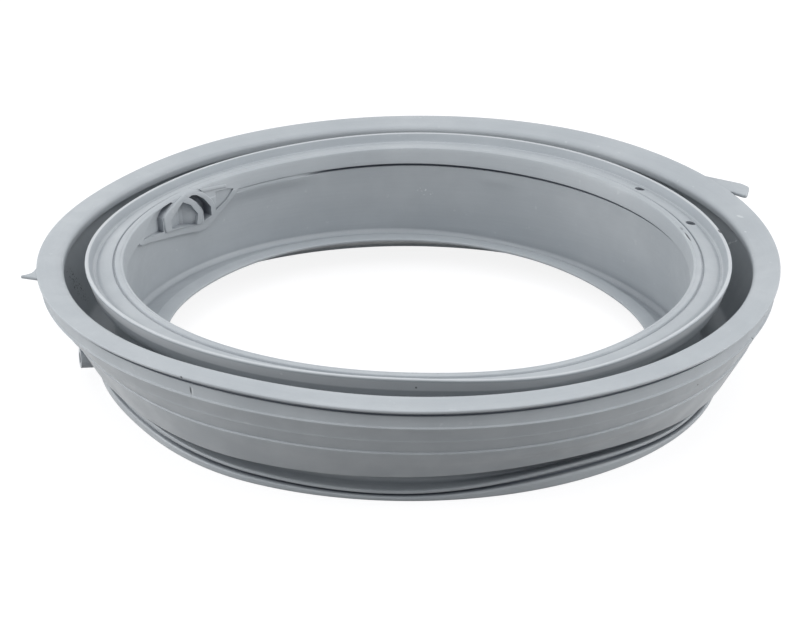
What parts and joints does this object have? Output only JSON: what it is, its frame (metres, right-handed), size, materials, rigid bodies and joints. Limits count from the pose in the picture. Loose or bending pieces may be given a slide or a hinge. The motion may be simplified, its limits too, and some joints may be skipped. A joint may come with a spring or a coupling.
{
  "type": "washing machine door seal",
  "caption": "Round grey rubber door seal with a flat front rim, folded bellows, raised door lip, tub ring, spray nozzle boss and drain holes.",
  "frame": {"origin": "on the ring's axis, at the flat foot of the tub ring that the seal lies on", "axes": "+Z along the ring's axis, from the tub ring up to the front rim; -X is near the spray nozzle boss and the drain holes lie between +X and +Y"},
  "size_m": [0.39, 0.39, 0.0648],
  "materials": {
    "grey_rubber": "satin moulded rubber, cool light grey"
  },
  "bodies": {
    "root": {"door_seal": "grey_rubber"}
  },
  "joints": []
}
